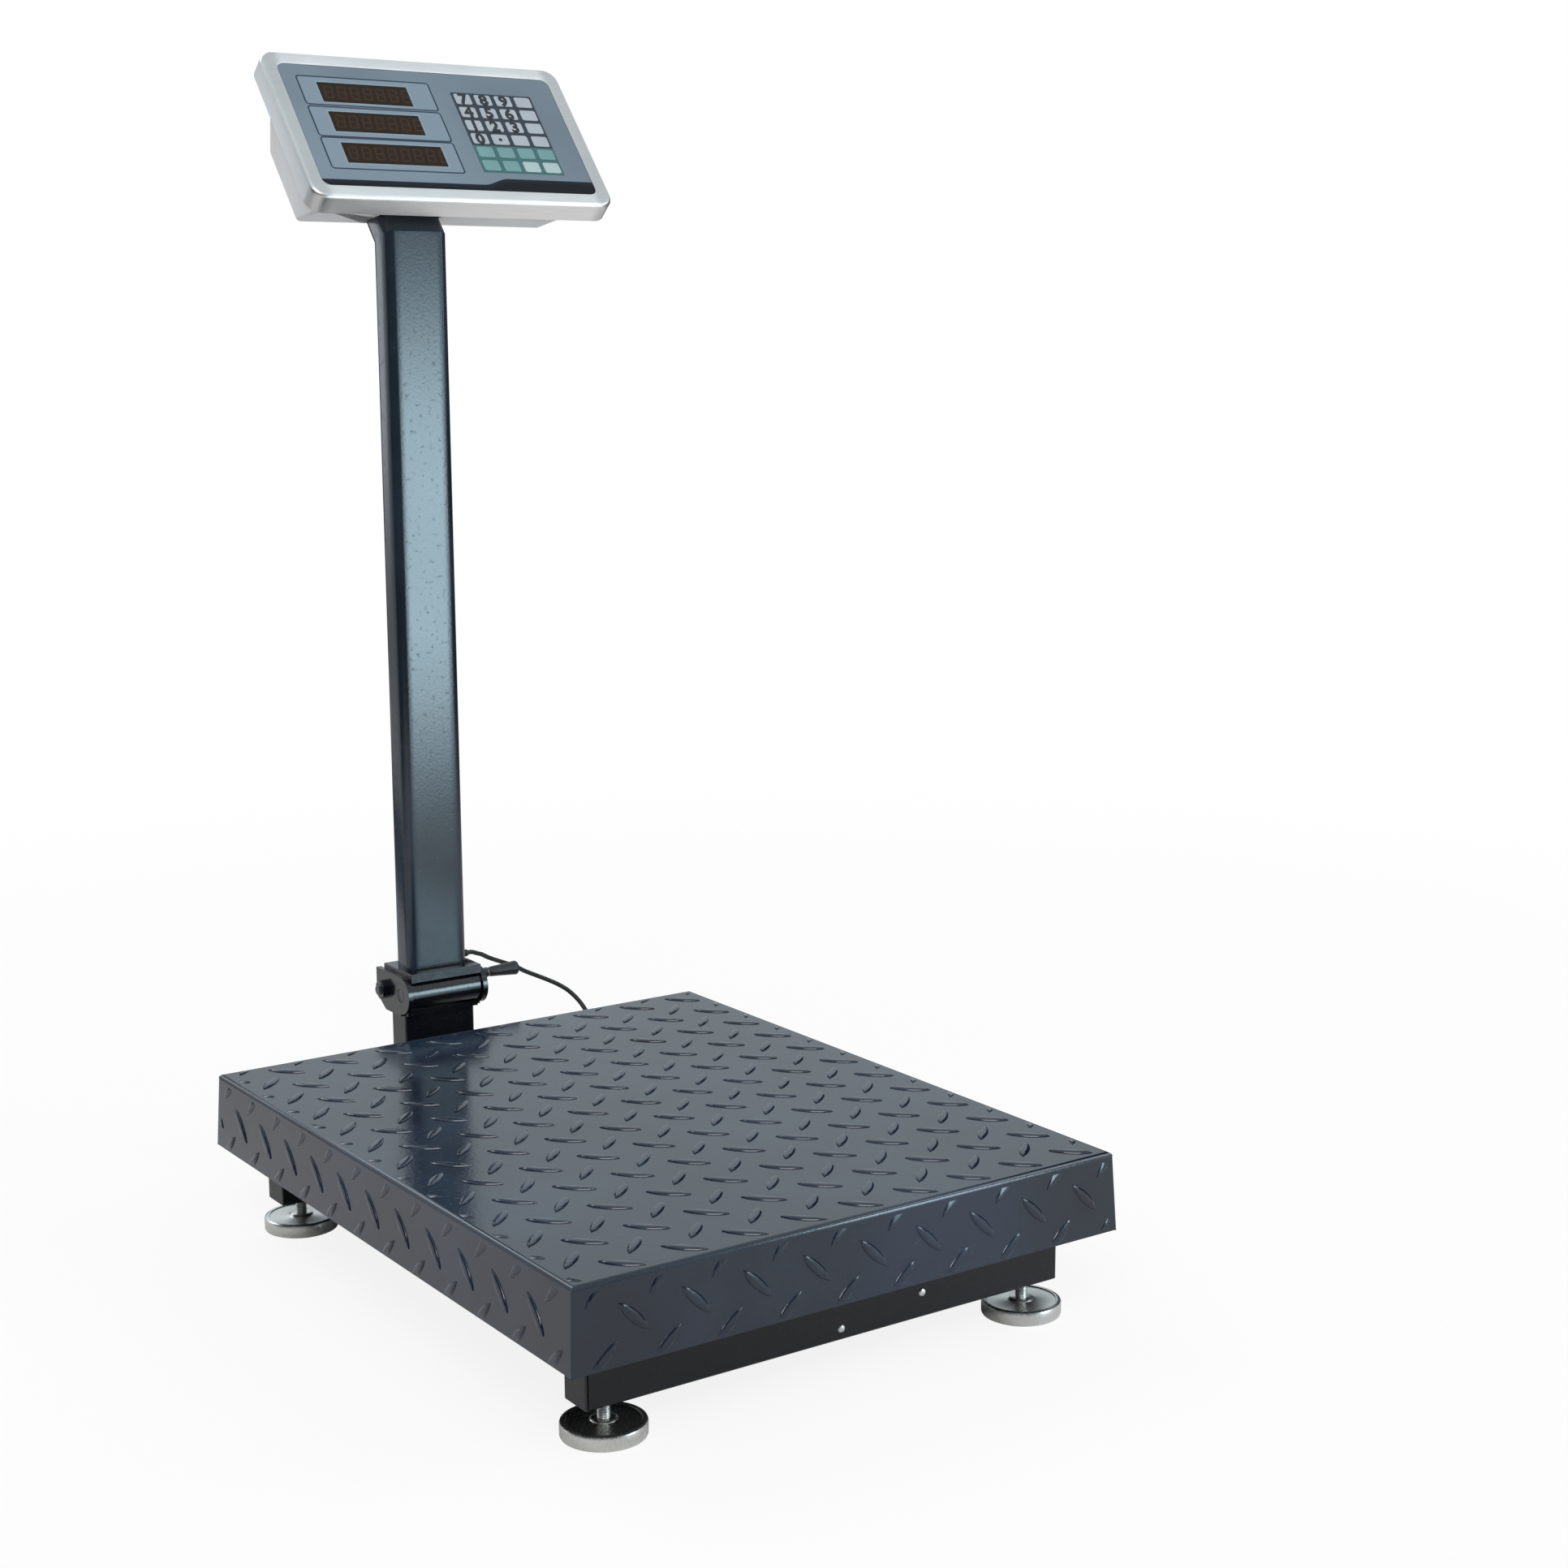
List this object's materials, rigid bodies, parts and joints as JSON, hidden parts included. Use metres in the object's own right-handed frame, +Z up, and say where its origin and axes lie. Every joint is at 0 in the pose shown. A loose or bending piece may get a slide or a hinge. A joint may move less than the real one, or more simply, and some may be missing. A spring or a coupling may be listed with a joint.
{
  "type": "platform scale",
  "caption": "Folding-column platform scale with a tread-plate platform, levelling feet, a pinned column foot with a lock bolt, and a tilted indicator with keypad and displays.",
  "frame": {"origin": "on the floor, under the middle of the scale's box without its cable", "axes": "+X to the right as one faces the indicator, +Y to the back, +Z up"},
  "size_m": [0.4058, 0.6366, 0.8357],
  "materials": {
    "black_paint": "gloss black enamel",
    "tread_paint": "gloss blue-black enamel on tread plate",
    "column_paint": "gloss black enamel",
    "hinge_paint": "black enamel",
    "dark_steel": "dark oiled steel",
    "zinc": "zinc-plated steel",
    "cell_aluminium": "machined",
    "black_plastic": "satin black",
    "black_rubber": "matt black",
    "bronze": "plain bronze",
    "stainless": "satin stainless",
    "light_grey": "satin light grey",
    "panel_blue": "satin blue-grey film",
    "window_brown": "dark brown filter",
    "key_grey": "satin pale grey",
    "key_teal": "satin pale teal",
    "board_green": "lacquered board",
    "battery_case": "moulded case",
    "rocker_red": "moulded red",
    "foot_metal": "satin plated steel"
  },
  "bodies": {
    "base": {"front_beam": "black_paint", "rear_beam": "black_paint", "left_rail": "black_paint", "right_rail": "black_paint", "beam_caps": "black_plastic", "column_arm": "black_paint", "column_post": "black_paint", "hinge_bracket": "hinge_paint", "hinge_pin": "dark_steel", "lock_nut": "hinge_paint", "foot_nuts": "zinc", "cell_base_plate": "black_paint", "cell_spacers": "cell_aluminium", "load_cell": "cell_aluminium", "cell_bolts": "zinc", "cell_top_plate": "black_paint", "overload_stops": "zinc", "frame_left_tube": "black_paint", "frame_right_tube": "black_paint", "frame_end_tubes": "black_paint", "frame_middle_tubes": "black_paint", "platform_pads": "black_rubber", "platform_plate": "tread_paint", "tread_bars": "tread_paint", "cable_gland": "black_plastic", "data_cable": "black_rubber"},
    "column": {"column_foot": "hinge_paint", "pivot_bushes": "bronze", "column_tube": "column_paint", "column_grommet": "black_rubber", "neck_tube": "column_paint", "head_plate": "zinc", "head_plate_screws": "zinc", "rear_shell": "light_grey", "shell_screws": "zinc", "front_shell": "stainless", "front_panel": "panel_blue", "upper_window": "window_brown", "middle_window": "window_brown", "lower_window": "window_brown", "display_modules": "black_plastic", "main_board": "board_green", "battery": "battery_case", "plain_keys": "key_grey", "tinted_keys": "key_teal", "charger_socket": "black_plastic", "switch_frame": "black_plastic"},
    "rocker": {"power_rocker": "rocker_red"},
    "lock": {"lock_bolt": "dark_steel", "lock_grip": "black_plastic"},
    "foot_front_left": {"foot_disc_front_left": "foot_metal", "foot_stud_front_left": "foot_metal"},
    "foot_front_right": {"foot_disc_front_right": "foot_metal", "foot_stud_front_right": "foot_metal"},
    "foot_rear_left": {"foot_disc_rear_left": "foot_metal", "foot_stud_rear_left": "foot_metal"},
    "foot_rear_right": {"foot_disc_rear_right": "foot_metal", "foot_stud_rear_right": "foot_metal"}
  },
  "joints": [
    {"name": "column_fold", "type": "hinge", "parent": "base", "child": "column", "pos_m": [0, 0.22956, 0.1332], "axis": [1, 0, 0], "range_deg": [0, 90]},
    {"name": "lock_turn", "type": "hinge", "parent": "base", "child": "lock", "pos_m": [0, 0.25556, 0.1332], "axis": [1, 0, 0], "continuous": true},
    {"name": "rocker_tip", "type": "hinge", "parent": "column", "child": "rocker", "pos_m": [0.125, 0.28423, 0.75547], "axis": [0, 0.766, -0.6428], "range_deg": [0, 14]},
    {"name": "foot_front_left_height", "type": "slide", "parent": "base", "child": "foot_front_left", "axis": [0, 0, -1], "range_m": [0, 0.01]},
    {"name": "foot_front_right_height", "type": "slide", "parent": "base", "child": "foot_front_right", "axis": [0, 0, -1], "range_m": [0, 0.01]},
    {"name": "foot_rear_left_height", "type": "slide", "parent": "base", "child": "foot_rear_left", "axis": [0, 0, -1], "range_m": [0, 0.01]},
    {"name": "foot_rear_right_height", "type": "slide", "parent": "base", "child": "foot_rear_right", "axis": [0, 0, -1], "range_m": [0, 0.01]}
  ]
}
